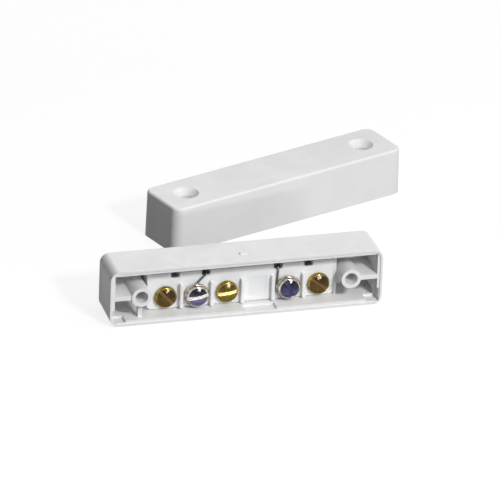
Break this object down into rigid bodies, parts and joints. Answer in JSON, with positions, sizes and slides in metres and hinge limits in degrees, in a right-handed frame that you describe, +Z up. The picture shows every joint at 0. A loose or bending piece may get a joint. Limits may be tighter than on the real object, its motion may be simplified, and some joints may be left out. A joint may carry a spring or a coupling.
{
  "type": "surface-mount magnetic alarm contact",
  "caption": "Surface-mount magnetic door or window contact: an open-backed reed switch half with a screw terminal deck, and its matching magnet half.",
  "frame": {"origin": "centre of the floor area that the pair covers, on the floor", "axes": "+X along the switch half's length, -Y out of the switch half's open back towards the viewer, +Z up"},
  "size_m": [0.0848, 0.068, 0.014],
  "materials": {
    "white_shell": "satin moulded white plastic",
    "white_deck": "satin moulded white plastic",
    "brass": "turned brass, slightly dulled",
    "nickel": "bright nickel plate",
    "lead_wire": "tinned nickel-iron wire",
    "capsule_glass": "clear greenish glass",
    "magnet_alloy": "ground magnet alloy"
  },
  "bodies": {
    "root": {"switch_housing": "white_shell", "terminal_deck": "white_deck", "terminal_screw_1": "brass", "terminal_screw_2": "nickel", "terminal_screw_3": "brass", "terminal_screw_4": "nickel", "terminal_screw_5": "brass", "terminal_bush_1": "brass", "terminal_bush_2": "brass", "terminal_bush_3": "brass", "terminal_bush_4": "brass", "terminal_bush_5": "brass", "clamp_washer_2": "nickel", "clamp_washer_4": "nickel", "reed_glass": "capsule_glass", "reed_lead_left": "lead_wire", "reed_lead_right": "lead_wire", "magnet_housing": "white_shell", "bar_magnet": "magnet_alloy"}
  },
  "joints": []
}
